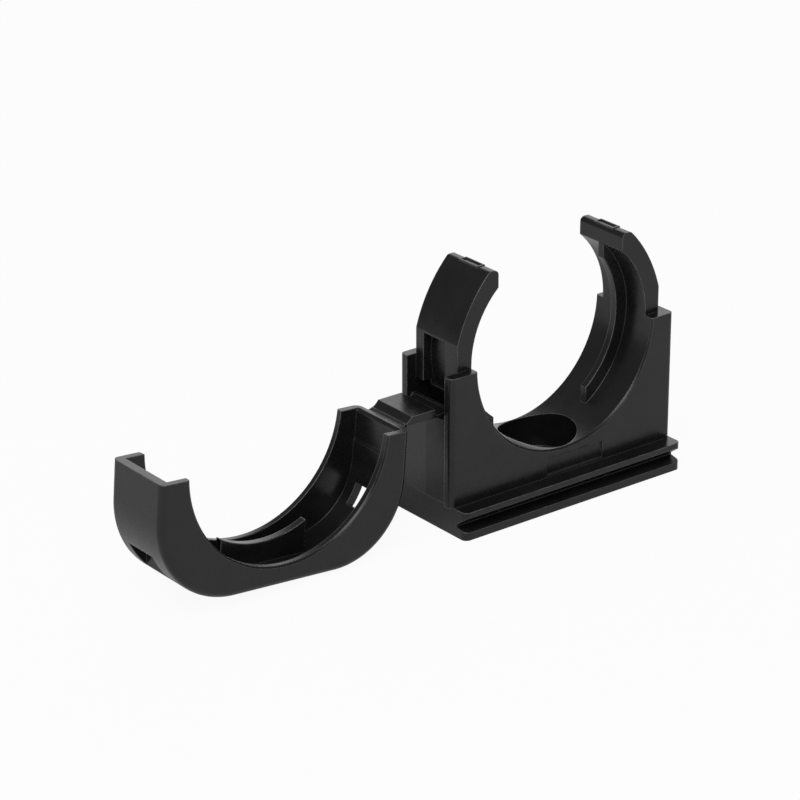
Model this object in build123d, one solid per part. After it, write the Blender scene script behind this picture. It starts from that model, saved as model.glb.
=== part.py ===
"""Holder for corrugated conduit with a hinged cover, moulded in one piece and shown open.

Millimetres. X runs along the foot with the hinge at -X, Y along the conduit and Z up.
The origin is on the underside of the foot, on the axis of the fixing screw.
"""
import os
from math import cos, radians, sin

from build123d import *

# Conduit seat
conduit_radius = 17.5
seat_height = 8.9  # lowest line of the seat above the underside of the foot
rim_drop = 0.5  # rim of the holder below the conduit axis
seat_chamfer = 0.3
rib_depth = 2.2  # how far the arc ribs reach into a groove of the conduit
rib_width = 1.2

# Foot and its rail grooves
foot_depth = 18.8
foot_height = 4.6
foot_round = 1.0
groove_floor = 1.3
groove_height = 2.4  # at its mouth
groove_depth = 2.2
groove_root = 0.35  # height at the bottom of the groove
root_lift = 0.45  # lower flank rises inwards by this much

# Body under the seat
body_depth = 13.4
plate_wall = 1.7
plate_overhang = 0.7  # front plate beyond the foot at the hinge end
plate_round = 0.8
end_wall = 1.8
end_chamfer = 1.2
seat_wall = 1.8  # moulded wall under the seat
end_crown = 0.2  # end wall proud at the parting line of the mould
panel_length = 11.3
panel_height = 2.8
panel_lift = 0.4  # lower edge of the panel above the foot
panel_shift = 2.0  # along the foot from the screw
panel_depth = 0.25

# Fixing screw
screw_radius = 3.2
screw_seat = 4.0
well_radius = 6.2
well_wall = 1.8

# Sprung arms
arm_wall = 2.7  # seat to the flat outer face, at the height of the conduit axis
arm_curl = 15.2  # inner radius above the conduit axis, drawn in to grip
arm_bend = 23.6  # outer radius of the part that leans inwards
bend_rise = 0.3  # start of the bend above the arm's window
leg_drop = 3.9  # rim to the free lower edge of the outer arm wall
tip_angle = 45.0
tip_height = 1.85
tip_land = 1.75
tip_round = 0.8
pocket_reach = 1.13  # gate pocket on the tip, from the arm's inner end
pocket_length = 3.8
pocket_width = 0.9
pocket_depth = 0.2
pocket_rim = 0.3
pocket_lift = 0.1  # rim of the pocket above the tip
rib_foot_gap = 3.2  # from the screw well to the lower ends of the ribs

# Windows in the arms and in the cover
window_width = 5.2
window_shift = 0.6
window_top = 4.0  # upper edge above the rim
window_shell = 1.2  # wall left behind the window of an arm
cover_window_width = 6.0
hinge_window = 3.5  # along the rounded corner of the cover
hinge_window_angle = 28.2
free_window = 3.2  # along the cover, from the inside of its free wall

# Cover, described as it sits when closed
cover_inset = 0.3  # cover inside the front and rear faces of the body
cover_seat_gap = 0.1
cover_wall = 1.45
flange_wall = 1.2
cover_clearance = 0.35  # seat of the cover wider than the conduit
squeeze = 1.4  # axis of the closed cover's seat below that of the holder
cover_seat_shift = 0.7  # seat of the cover towards the hinge
crown_depth = 3.25
hinge_corner = 12.4
free_corner = 14.0
cover_round = 1.1
arm_gap = 0.2  # between the free wall and the arm beside it
pad_wall = 1.2
pad_height = 4.75
pad_slope = 0.45  # sloping step at the end of the pad
pad_chamfer = 0.45
cover_rib_half = 7.7
cover_rib_depth = 1.55

# Latch nib on the free wall
nib_width = 4.0
nib_reach = 0.6
nib_height = 1.0
nib_gap = 0.5  # to the upper edge of the arm's window

# Strap and its two film hinges
strap_reach = 6.8  # between the two fold lines
strap_width = 8.3
strap_thickness = 1.4
strap_slope = 0.25
cover_slope = 1.3  # hollowed flank on the side of the cover
slope_dip = 0.14
film_thickness = 0.4
film_reach = 0.4  # from the lower fold line to the strap
cover_film_reach = 0.4  # from the upper fold line to the strap
fold_out = 0.4  # lower fold line beyond the plates
fold_rise = 0.3  # upper fold line above the rim when closed
strap_swing = 90.0
cover_swing = 85.6

# Places that follow from the sizes above
axis_height = seat_height + conduit_radius
rim_height = axis_height - rim_drop
rib_radius = conduit_radius - rib_depth
rib_foot = well_radius + rib_foot_gap
arm_flat = conduit_radius + arm_wall
half_length = arm_flat + end_wall
hinge_end = half_length + plate_overhang
inner_depth = body_depth - 2 * plate_wall
leg_bottom = rim_height - leg_drop
tip_reach = conduit_radius * cos(radians(tip_angle))
tip_top = axis_height + conduit_radius * sin(radians(tip_angle)) + tip_height
window_height = rim_height + window_top

fold_x = hinge_end + fold_out
fold_height = rim_height + fold_rise - strap_reach
strap_bottom = fold_height - film_thickness / 2
end_wall_top = fold_height + film_thickness / 2

cover_depth = body_depth - 2 * cover_inset
cover_inner_depth = cover_depth - 2 * flange_wall
cover_base = rim_height + cover_seat_gap
cover_radius = conduit_radius + cover_clearance
cover_axis = axis_height - squeeze
cover_top = cover_axis + cover_radius + crown_depth

# Cuts pass through the surface that they open by this much
overcut = 1.0


def prism(profile, depth):
    """Carry a profile drawn in X and Z evenly to both sides of the middle plane."""
    return extrude(Plane.XZ * profile, depth / 2, both=True)


def block(x_range, y_range, z_range):
    """Box between two limits on each axis."""
    sizes = [high - low for low, high in (x_range, y_range, z_range)]
    middle = [(high + low) / 2 for low, high in (x_range, y_range, z_range)]
    return Pos(*middle) * Box(*sizes)


def panel(x_range, z_range):
    """Rectangle in X and Z, to be carried along Y."""
    width = x_range[1] - x_range[0]
    height = z_range[1] - z_range[0]
    return Pos(sum(x_range) / 2, sum(z_range) / 2) * Rectangle(width, height)


def drum(radius, depth, height, x=0):
    """Cylinder along Y at the given height."""
    return Pos(x, 0, height) * Rot(90, 0, 0) * Cylinder(radius, depth)


def both_ends(shape):
    """A shape and its mirror image at the other end of the part."""
    return [shape, mirror(shape, Plane.YZ)]


def edges_at(shape, kind, depth):
    """Edges of one kind that lie wholly in the planes Y = +depth and Y = -depth."""
    found = ShapeList()
    for edge in shape.edges().filter_by(kind):
        box = edge.bounding_box()
        if abs(abs(box.min.Y) - depth) < 1e-4 and box.size.Y < 1e-4:
            found.append(edge)
    return found


def foot():
    outline = RectangleRounded(2 * half_length, foot_depth, foot_round)
    slab = extrude(outline, foot_height)
    mouth = foot_depth / 2
    root = mouth - groove_depth
    profile = Polyline(
        (mouth + overcut, groove_floor),
        (mouth + overcut, groove_floor + groove_height),
        (mouth, groove_floor + groove_height),
        (root, groove_floor + root_lift + groove_root),
        (root, groove_floor + root_lift),
        (mouth, groove_floor),
        close=True,
    )
    groove = extrude(Plane.YZ * make_face(profile), half_length + overcut, both=True)
    return slab - groove - mirror(groove, Plane.XZ)


def body():
    """Front and rear plates joined by the seat, with rounded ends."""
    half_depth = body_depth / 2
    plan = Polyline(
        (-hinge_end, -half_depth),
        (half_length, -half_depth),
        (half_length, half_depth),
        (-half_length, half_depth),
        (-half_length, inner_depth / 2),
        (-hinge_end, inner_depth / 2),
        close=True,
    )
    face = make_face(plan)
    corners = face.vertices().filter_by(lambda v: abs(v.Y) > half_depth - 1e-4)
    shape = Pos(0, 0, foot_height) * extrude(fillet(corners, plate_round), rim_height - foot_height)
    shape -= drum(conduit_radius, body_depth + 2 * overcut, axis_height)
    return chamfer(edges_at(shape, GeomType.CIRCLE, body_depth / 2), seat_chamfer)


def hinge_recess():
    """Space between the plates at the hinge end, above the chamfered end wall."""
    outline = Polyline(
        (-hinge_end - overcut, foot_height),
        (-half_length, foot_height),
        (-half_length, end_wall_top - end_chamfer),
        (-half_length + end_chamfer, end_wall_top),
        (-arm_flat, end_wall_top),
        (-arm_flat, rim_height + overcut),
        (-hinge_end - overcut, rim_height + overcut),
        close=True,
    )
    recess = prism(make_face(outline), inner_depth)
    crown = Polyline(
        (-half_length, -inner_depth / 2),
        (-half_length - end_crown, 0),
        (-half_length, inner_depth / 2),
        close=True,
    )
    ridge = Pos(0, 0, foot_height) * extrude(make_face(crown), end_wall_top - end_chamfer - foot_height)
    return recess - ridge


def core(side, top):
    """Hollow moulded from below between the screw well, the end wall and the seat."""
    near = side * (well_radius + well_wall)
    far = side * arm_flat
    x_range = (min(near, far), max(near, far))
    hollow = prism(panel(x_range, (-overcut, top)), inner_depth)
    return hollow - drum(conduit_radius + seat_wall, body_depth, axis_height)


def arm_profile():
    """Section of the arm at the hinge end: flat outside below, then leaning in to its tip."""
    bend = (-arm_flat, window_height + bend_rise)
    crest = (-tip_reach - tip_land, tip_top)
    outline = Polyline(crest, (-tip_reach, tip_top), (-tip_reach, leg_bottom), (-arm_flat, leg_bottom), bend)
    section = make_face(outline + RadiusArc(bend, crest, arm_bend))
    below_axis = panel((-conduit_radius, 0), (0, axis_height))
    section -= Pos(0, axis_height) * Circle(conduit_radius) & below_axis
    section -= Pos(arm_curl - conduit_radius, axis_height) * Circle(arm_curl)
    corners = section.vertices().filter_by(lambda v: v.Y > tip_top - 1e-4)
    return fillet(corners, tip_round)


def arm():
    shape = prism(arm_profile(), inner_depth)
    middle = -tip_reach - pocket_reach
    half_width = pocket_width / 2
    half_pocket = pocket_length / 2
    shape += block(
        (middle - half_width - pocket_rim, middle + half_width + pocket_rim),
        (-half_pocket - pocket_rim, half_pocket + pocket_rim),
        (tip_top - tip_round, tip_top + pocket_lift),
    )
    shape -= block(
        (middle - half_width, middle + half_width),
        (-half_pocket, half_pocket),
        (tip_top + pocket_lift - pocket_depth, tip_top + overcut),
    )
    return shape + arm_rib()


def arm_rib():
    """Arc rib that drops into a groove of the conduit, its upper end flush with the tip."""
    ring = Circle(conduit_radius + window_shell / 2) - Circle(rib_radius)
    section = Pos(0, axis_height) * ring
    lower = panel((-arm_flat, -rib_foot), (0, axis_height))
    upper = panel((-arm_flat, -tip_reach), (axis_height, tip_top - tip_height))
    return prism(section & (lower + upper), rib_width)


def arm_window(bottom):
    """Opening in the flat face of the arm, down to the wall behind the seat."""
    x_range = (-half_length - overcut, -conduit_radius)
    y_range = (window_shift - window_width / 2, window_shift + window_width / 2)
    opening = block(x_range, y_range, (bottom, window_height))
    return opening - drum(conduit_radius + window_shell, body_depth, axis_height)


def screw_well():
    hole = Cylinder(screw_radius, screw_seat + overcut, align=(Align.CENTER, Align.CENTER, Align.MAX))
    well = Cylinder(well_radius, axis_height, align=(Align.CENTER, Align.CENTER, Align.MIN))
    return Pos(0, 0, screw_seat) * (hole + well)


def marking_panel():
    """Shallow bare field low on the front face."""
    bottom = foot_height + panel_lift
    return block(
        (panel_shift - panel_length / 2, panel_shift + panel_length / 2),
        (-body_depth / 2 - overcut, -body_depth / 2 + panel_depth),
        (bottom, bottom + panel_height),
    )


def holder():
    shape = foot() + body()
    shape -= hinge_recess()
    shape -= core(-1, leg_bottom)
    shape -= core(1, rim_height - end_wall)
    shape += both_ends(arm())
    shape -= arm_window(leg_bottom - overcut)
    shape -= mirror(arm_window(rim_height), Plane.YZ)
    shape -= screw_well()
    shape -= marking_panel()
    return shape


def arch(left, right, base, top, left_corner, right_corner):
    """Outline of the cover or of its inside, with two rounded upper corners."""
    outline = panel((left, right), (base, top))
    upper = outline.vertices().filter_by(lambda v: v.Y > top - 1e-4).sort_by(Axis.X)
    outline = fillet(upper[0], left_corner)
    upper = outline.vertices().sort_by(Axis.Y)[-2:].sort_by(Axis.X)
    return fillet(upper[-1], right_corner)


def hinge_corner_window():
    """Opening straight through the rounded corner above the hinge."""
    middle = Pos(hinge_corner - hinge_end, window_shift, cover_top - hinge_corner)
    turned = middle * Rot(0, hinge_window_angle, 0)
    return turned * Pos(-hinge_corner, 0, 0) * Box(3 * cover_wall, window_width, hinge_window)


def free_corner_window(inside):
    """Upright opening through the rounded corner above the latch nib."""
    half_width = cover_window_width / 2
    return block(
        (inside - free_window, inside),
        (window_shift - half_width, window_shift + half_width),
        (cover_top - free_corner, cover_top + overcut),
    )


def latch_nib(inside):
    """Nib on the free wall that sits under the upper edge of the arm's window."""
    top = window_height - nib_gap
    outline = Polyline(
        (inside, top),
        (inside - nib_reach, top),
        (inside, top - nib_height),
        close=True,
    )
    return Pos(0, window_shift, 0) * prism(make_face(outline), nib_width)


def closed_cover():
    shape = prism(
        arch(-hinge_end, half_length, cover_base, cover_top, hinge_corner, free_corner), cover_depth
    )
    rim = edges_at(shape, GeomType.CIRCLE, cover_depth / 2)
    rim += [e for e in edges_at(shape, GeomType.LINE, cover_depth / 2) if e.center().Z > cover_base + 1]
    shape = fillet(rim, cover_round)

    inside = arm_flat + arm_gap
    hinge_inside = hinge_end - cover_wall
    inner_top = cover_top - cover_wall
    cavity = arch(
        -hinge_inside,
        inside,
        cover_base - overcut,
        inner_top,
        hinge_corner - cover_wall,
        free_corner - cover_wall,
    )
    shape -= prism(cavity, cover_inner_depth)
    pad_top = cover_base + pad_height
    pad = Polyline(
        (-hinge_end + pad_wall, cover_base - overcut),
        (-hinge_end + pad_wall, pad_top),
        (-hinge_inside, pad_top + pad_slope),
        (0, pad_top + pad_slope),
        (0, cover_base - overcut),
        close=True,
    )
    shape -= prism(make_face(pad), cover_inner_depth)
    lip = ShapeList()
    for edge in shape.edges().filter_by(Axis.Y):
        if abs(edge.center().X + hinge_end - pad_wall) + abs(edge.center().Z - cover_base) < 1e-4:
            lip.append(edge)
    shape = chamfer(lip, pad_chamfer)

    shape -= drum(cover_radius, body_depth, cover_axis, -cover_seat_shift)
    rounds = edges_at(shape, GeomType.CIRCLE, cover_depth / 2)
    seat = [e for e in rounds if abs(e.radius - cover_radius) < 1e-6]
    shape = chamfer(seat, seat_chamfer)

    rib_range = (-cover_seat_shift - cover_rib_half, -cover_seat_shift + cover_rib_half)
    rib = prism(panel(rib_range, (cover_axis, inner_top + cover_wall / 2)), rib_width)
    shape += rib - drum(cover_radius - cover_rib_depth, body_depth, cover_axis, -cover_seat_shift)
    shape -= hinge_corner_window()
    shape -= free_corner_window(inside)
    return shape + latch_nib(inside)


def opened(shape):
    """Swing a closed piece of the cover back about the upper and then the lower fold line."""
    upper_fold = Axis((-fold_x, 0, fold_height + strap_reach), (0, 1, 0))
    lower_fold = Axis((-fold_x, 0, fold_height), (0, 1, 0))
    return shape.rotate(upper_fold, -cover_swing).rotate(lower_fold, -strap_swing)


def hinge_strap():
    inner = -fold_x - film_reach
    outer = -fold_x - strap_reach + cover_film_reach
    top = strap_bottom + strap_thickness
    flank_foot = (outer, end_wall_top)
    flank_top = (outer + cover_slope, top)
    outline = Polyline(
        flank_top,
        (inner - strap_slope, top),
        (inner, strap_bottom),
        (outer, strap_bottom),
        flank_foot,
    )
    flank = SagittaArc(flank_foot, flank_top, -slope_dip)
    return prism(make_face(outline + flank), strap_width)


def film(left, right, neighbours):
    """Thin web at the level of the fold lines, cut off where it meets its neighbours."""
    web = prism(panel((left, right), (strap_bottom, end_wall_top)), strap_width)
    for piece in neighbours:
        web -= piece
    return web


def main():
    nodes = {"holder": holder(), "hinge_strap": hinge_strap(), "cover": opened(closed_cover())}
    strap = nodes["hinge_strap"]
    strap_inner = -fold_x - film_reach
    strap_outer = -fold_x - strap_reach + cover_film_reach
    nodes["lower_film"] = film(strap_inner, -arm_flat, [nodes["holder"], strap])
    cover_side = strap_outer - 2 * cover_film_reach - pad_wall / 2
    nodes["upper_film"] = film(cover_side, strap_outer, [nodes["cover"], strap])
    os.makedirs("parts", exist_ok=True)
    for name, shape in nodes.items():
        export_step(shape, f"parts/{name}.step")


main()
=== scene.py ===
import math

import bmesh
import bpy
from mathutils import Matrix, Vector


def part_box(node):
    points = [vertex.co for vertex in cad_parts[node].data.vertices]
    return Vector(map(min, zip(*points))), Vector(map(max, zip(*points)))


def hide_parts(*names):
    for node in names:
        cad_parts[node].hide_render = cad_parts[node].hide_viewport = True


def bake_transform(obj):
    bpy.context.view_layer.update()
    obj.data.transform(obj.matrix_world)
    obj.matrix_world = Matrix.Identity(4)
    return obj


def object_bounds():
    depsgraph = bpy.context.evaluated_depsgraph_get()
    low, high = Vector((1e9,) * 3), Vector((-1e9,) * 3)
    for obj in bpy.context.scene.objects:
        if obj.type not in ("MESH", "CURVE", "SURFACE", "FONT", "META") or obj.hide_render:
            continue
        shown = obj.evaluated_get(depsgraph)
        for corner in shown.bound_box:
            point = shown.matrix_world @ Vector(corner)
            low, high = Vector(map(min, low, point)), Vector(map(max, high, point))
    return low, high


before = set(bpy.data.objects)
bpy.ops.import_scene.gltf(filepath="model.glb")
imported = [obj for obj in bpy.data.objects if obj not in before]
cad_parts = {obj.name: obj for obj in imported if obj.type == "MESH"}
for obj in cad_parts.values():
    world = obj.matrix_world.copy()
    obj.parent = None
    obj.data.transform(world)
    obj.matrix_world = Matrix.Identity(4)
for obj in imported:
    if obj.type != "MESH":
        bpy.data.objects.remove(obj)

cad_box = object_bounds()
MM = 0.001

# Camera at the photograph's angle
VIEW_AZIMUTH = math.radians(38.088)
VIEW_ELEVATION = math.radians(23.185)
VIEW_TARGET = Vector((-27.23, 0.0, 21.69)) * MM
VIEW_DISTANCE = 517.2 * MM
LENS_MM = 154.75
SENSOR_MM = 36.0
CLIP_START = 10 * MM

# Film hinges
FILM_STEPS = 24
FILM_ROWS = 8
FILM_WAIST = 0.72  # thickness in the middle, as a share of that at the ends
FILM_OVERLAP = 0.25 * MM  # reach into the pieces that a film joins
FILM_FALL = 0.26 * MM  # top of the upper film, from the strap down to the cover

# Black polyamide
DARK_CLOUD = (0.006, 0.006, 0.0065, 1)
LIGHT_CLOUD = (0.010, 0.010, 0.0105, 1)
CLOUD_SIZE = 6.0 * MM
SPECULAR_LEVEL = 0.40
ROUGHNESS_RANGE = (0.22, 0.30)
PATCH_SIZE = 1.6 * MM
GRAIN_SIZE = 0.22 * MM
GRAIN_HEIGHT = 0.012 * MM
GRAIN_STRENGTH = 0.09
NOISE_RANGE = (0.3, 0.7)  # where nearly all values of a noise lie

# Softened edges, and a painted highlight on those that stand free
EDGE_ROUND = 0.28 * MM
EDGE_SAMPLES = 8
EDGE_TURN = (0.99, 0.86)  # cosine between the flat and the softened normal: no painted highlight, full painted highlight
SHELTER_REACH = 2.0 * MM
SHELTER_SAMPLES = 6
SHELTER_RANGE = (0.55, 0.95)  # open share of the surroundings: no painted highlight, full painted highlight
# Pale colour painted on free outer edges as a highlight, with noise that breaks it up along them
HIGHLIGHT_BREAKUP_SIZE = 1.8 * MM
HIGHLIGHT_BREAKUP_RANGE = (0.3, 1.0)
EDGE_HIGHLIGHT_COLOUR = (0.15, 0.15, 0.155, 1)
EDGE_HIGHLIGHT_ROUGHNESS = 0.2  # on top of the roughness of the rest

# White studio
WHITE = (1, 1, 1, 1)
FLOOR_WHITE = 0.82
FLOOR_HALF = 6.0
WHITE_TO_CAMERA = 0.94
WHITE_IN_REFLECTIONS = 0.2
SKY_LIGHT = 0.22
BACK_WALL = {"azimuth": 48, "elevation": 15, "reach": 1.3, "size": (1.3, 0.95), "radiance": 1.25}
KEY = {"azimuth": 226, "elevation": 52, "reach": 1.1, "size": (0.9, 0.9), "radiance": 3.8}


def new_material(name):
    material = bpy.data.materials.new(name)
    material.use_nodes = True
    nodes = material.node_tree.nodes
    nodes.clear()
    return material, nodes, material.node_tree.links


def add(nodes, kind, **inputs):
    """Node of a kind, with input sockets set by name."""
    node = nodes.new(kind)
    for name, value in inputs.items():
        node.inputs[name.replace("_", " ")].default_value = value
    return node


def noise(nodes, links, place, size, detail):
    """Noise whose features are about the given size in metres."""
    node = add(nodes, "ShaderNodeTexNoise", Scale=1 / size, Detail=detail)
    links.new(place.outputs["Object"], node.inputs["Vector"])
    return node


def span(nodes, links, source, target_range, source_range=NOISE_RANGE):
    """Map a value from one range to another, both given as a pair."""
    node = nodes.new("ShaderNodeMapRange")
    node.inputs["From Min"].default_value, node.inputs["From Max"].default_value = source_range
    node.inputs["To Min"].default_value, node.inputs["To Max"].default_value = target_range
    links.new(source, node.inputs["Value"])
    return node.outputs["Result"]


def combine(nodes, links, operation, first, second):
    """Math node on two sockets."""
    node = nodes.new("ShaderNodeMath")
    node.operation = operation
    links.new(first, node.inputs[0])
    links.new(second, node.inputs[1])
    return node.outputs["Value"]


def painted_edge_highlight(nodes, links, place, softened):
    """How far a point is painted pale as an edge highlight: free outer edges only, broken up by
    noise.
    """
    shape = nodes.new("ShaderNodeNewGeometry")
    turn = nodes.new("ShaderNodeVectorMath")
    turn.operation = "DOT_PRODUCT"
    links.new(softened, turn.inputs[0])
    links.new(shape.outputs["Normal"], turn.inputs[1])
    edge = span(nodes, links, turn.outputs["Value"], (0, 1), EDGE_TURN)
    shelter = add(nodes, "ShaderNodeAmbientOcclusion", Distance=SHELTER_REACH)
    shelter.samples = SHELTER_SAMPLES
    free = span(nodes, links, shelter.outputs["AO"], (0, 1), SHELTER_RANGE)
    highlight_breakup_noise = noise(nodes, links, place, HIGHLIGHT_BREAKUP_SIZE, 4.0)
    highlight_breakup = span(nodes, links, highlight_breakup_noise.outputs["Fac"], HIGHLIGHT_BREAKUP_RANGE)
    free_edge = combine(nodes, links, "MULTIPLY", edge, free)
    return combine(nodes, links, "MULTIPLY", free_edge, highlight_breakup)


def polyamide():
    """Black moulded polyamide: fine eroded grain, faint clouding, softened edges, and a painted
    highlight on the free edges.
    """
    material, nodes, links = new_material("black_polyamide")
    output = nodes.new("ShaderNodeOutputMaterial")
    shader = nodes.new("ShaderNodeBsdfPrincipled")
    shader.inputs["Specular IOR Level"].default_value = SPECULAR_LEVEL
    links.new(shader.outputs["BSDF"], output.inputs["Surface"])
    place = nodes.new("ShaderNodeTexCoord")

    edges = add(nodes, "ShaderNodeBevel", Radius=EDGE_ROUND)
    edges.samples = EDGE_SAMPLES
    # Painted highlight: free outer edges get a pale colour and more roughness
    edge_highlight = painted_edge_highlight(nodes, links, place, edges.outputs["Normal"])

    clouds = noise(nodes, links, place, CLOUD_SIZE, 3.0)
    ramp = nodes.new("ShaderNodeValToRGB")
    for element, position, tone in zip(
        ramp.color_ramp.elements, NOISE_RANGE, (DARK_CLOUD, LIGHT_CLOUD)
    ):
        element.position = position
        element.color = tone
    links.new(clouds.outputs["Fac"], ramp.inputs["Fac"])
    # The pale edge colour is a painted highlight mixed into the base colour
    colour = nodes.new("ShaderNodeMix")
    colour.data_type = "RGBA"
    colour.inputs["B"].default_value = EDGE_HIGHLIGHT_COLOUR
    links.new(edge_highlight, colour.inputs["Factor"])
    links.new(ramp.outputs["Color"], colour.inputs["A"])
    links.new(colour.outputs["Result"], shader.inputs["Base Color"])

    patches = noise(nodes, links, place, PATCH_SIZE, 4.0)
    sheen = span(nodes, links, patches.outputs["Fac"], ROUGHNESS_RANGE)
    dull = span(nodes, links, edge_highlight, (0, EDGE_HIGHLIGHT_ROUGHNESS), (0, 1))
    links.new(combine(nodes, links, "ADD", sheen, dull), shader.inputs["Roughness"])

    grain = noise(nodes, links, place, GRAIN_SIZE, 2.0)
    relief = add(nodes, "ShaderNodeBump", Strength=GRAIN_STRENGTH, Distance=GRAIN_HEIGHT)
    links.new(grain.outputs["Fac"], relief.inputs["Height"])
    links.new(edges.outputs["Normal"], relief.inputs["Normal"])
    links.new(relief.outputs["Normal"], shader.inputs["Normal"])
    return material


def studio_white():
    """Matte white that looks plain white directly and partly in reflections, with a faint shadow."""
    material, nodes, links = new_material("studio_white")
    output = nodes.new("ShaderNodeOutputMaterial")
    path = nodes.new("ShaderNodeLightPath")
    matte = add(nodes, "ShaderNodeBsdfDiffuse", Color=(FLOOR_WHITE, FLOOR_WHITE, FLOOR_WHITE, 1))
    glow = add(nodes, "ShaderNodeEmission", Color=WHITE, Strength=1.0)
    mirrored = combine(
        nodes, links, "MAXIMUM", path.outputs["Is Glossy Ray"], path.outputs["Is Transmission Ray"]
    )
    surface = matte
    for ray, share in (
        (mirrored, WHITE_IN_REFLECTIONS),
        (path.outputs["Is Camera Ray"], WHITE_TO_CAMERA),
    ):
        mix = nodes.new("ShaderNodeMixShader")
        links.new(span(nodes, links, ray, (0, share), (0, 1)), mix.inputs["Fac"])
        links.new(surface.outputs[0], mix.inputs[1])
        links.new(glow.outputs["Emission"], mix.inputs[2])
        surface = mix
    links.new(surface.outputs[0], output.inputs["Surface"])
    return material


def mesh_object(name, bm, material):
    mesh = bpy.data.meshes.new(name)
    bm.to_mesh(mesh)
    bm.free()
    mesh.materials.append(material)
    piece = bpy.data.objects.new(name, mesh)
    bpy.context.scene.collection.objects.link(piece)
    return piece


def film_sheet(name, node, x_start, x_end, fall, material):
    """Thin web between two bodies, waisted where it folds, its top falling towards its end."""
    low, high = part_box(node)
    middle = (low[2] + high[2]) / 2
    half = (high[2] - low[2]) / 2
    bm = bmesh.new()
    rows = {1: [], -1: []}
    for step in range(FILM_STEPS + 1):
        along = step / FILM_STEPS
        x = x_start + (x_end - x_start) * along
        thick = half * (1 - (1 - FILM_WAIST) * math.sin(math.pi * along) ** 2)
        slope = fall * (0.5 - along)
        for side in (1, -1):
            line = []
            for row in range(FILM_ROWS + 1):
                y = low[1] + (high[1] - low[1]) * row / FILM_ROWS
                z = middle + thick + slope if side > 0 else middle - thick
                line.append(bm.verts.new((x, y, z)))
            rows[side].append(line)
    for step in range(FILM_STEPS):
        for side in (1, -1):
            near, far = rows[side][step], rows[side][step + 1]
            for row in range(FILM_ROWS):
                bm.faces.new((near[row], far[row], far[row + 1], near[row + 1]))
        for row in (0, FILM_ROWS):
            top_near, top_far = rows[1][step][row], rows[1][step + 1][row]
            low_near, low_far = rows[-1][step][row], rows[-1][step + 1][row]
            bm.faces.new((top_near, top_far, low_far, low_near))
    for step in (0, FILM_STEPS):
        for row in range(FILM_ROWS):
            top, base = rows[1][step], rows[-1][step]
            bm.faces.new((top[row], top[row + 1], base[row + 1], base[row]))
    bmesh.ops.recalc_face_normals(bm, faces=bm.faces)
    piece = mesh_object(name, bm, material)
    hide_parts(node)
    return piece


def films(material):
    """Both film hinges, as waisted sheets between the bodies that they join."""
    for name, node, joint_name, fall in (
        ("lower_film_sheet", "lower_film", "strap_hinge", 0.0),
        ("upper_film_sheet", "upper_film", "cover_hinge", FILM_FALL),
    ):
        low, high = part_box(node)
        right_end = high[0] + (FILM_OVERLAP if node == "upper_film" else 0)
        left_end = low[0] - FILM_OVERLAP
        sheet = film_sheet(name, node, right_end, left_end, fall, material)
        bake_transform(sheet)


def dress(material):
    for node in ("holder", "hinge_strap", "cover"):
        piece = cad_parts[node]
        piece.data.materials.clear()
        piece.data.materials.append(material)


def floor():
    bm = bmesh.new()
    bmesh.ops.create_grid(bm, x_segments=1, y_segments=1, size=FLOOR_HALF)
    piece = mesh_object("floor", bm, studio_white())
    piece.location.z = cad_box[0][2]


def sky():
    """White studio walls: plain white to the camera, softer as a light."""
    world = bpy.data.worlds.new("studio")
    bpy.context.scene.world = world
    world.use_nodes = True
    nodes, links = world.node_tree.nodes, world.node_tree.links
    nodes.clear()
    output = nodes.new("ShaderNodeOutputWorld")
    mix = nodes.new("ShaderNodeMixShader")
    path = nodes.new("ShaderNodeLightPath")
    wall = add(nodes, "ShaderNodeBackground", Color=WHITE, Strength=SKY_LIGHT)
    seen = add(nodes, "ShaderNodeBackground", Color=WHITE, Strength=1.0)
    links.new(path.outputs["Is Camera Ray"], mix.inputs["Fac"])
    links.new(wall.outputs["Background"], mix.inputs[1])
    links.new(seen.outputs["Background"], mix.inputs[2])
    links.new(mix.outputs["Shader"], output.inputs["Surface"])


def softbox(name, azimuth, elevation, reach, size, radiance):
    """Rectangular area light that faces the object from a given direction."""
    data = bpy.data.lights.new(name, "AREA")
    data.shape = "RECTANGLE"
    data.size, data.size_y = size
    data.energy = radiance * math.pi * size[0] * size[1]
    lamp = bpy.data.objects.new(name, data)
    turn, tilt = math.radians(azimuth), math.radians(elevation)
    level = math.cos(tilt)
    toward = Vector((math.sin(turn) * level, math.cos(turn) * level, math.sin(tilt)))
    lamp.location = VIEW_TARGET + toward * reach
    lamp.rotation_euler = (-toward).to_track_quat("-Z", "Y").to_euler()
    bpy.context.scene.collection.objects.link(lamp)


def camera():
    data = bpy.data.cameras.new("camera")
    data.sensor_width = SENSOR_MM
    data.lens = LENS_MM
    data.clip_start = CLIP_START
    eye = bpy.data.objects.new("camera", data)
    level = math.cos(VIEW_ELEVATION)
    forward = Vector(
        (math.sin(VIEW_AZIMUTH) * level, math.cos(VIEW_AZIMUTH) * level, -math.sin(VIEW_ELEVATION))
    )
    eye.location = VIEW_TARGET - forward * VIEW_DISTANCE
    eye.rotation_euler = forward.to_track_quat("-Z", "Y").to_euler()
    bpy.context.scene.collection.objects.link(eye)
    bpy.context.scene.camera = eye


bpy.context.scene.view_settings.view_transform = "Standard"
black = polyamide()
dress(black)
films(black)
floor()
sky()
softbox("back_wall", **BACK_WALL)
softbox("key", **KEY)
camera()
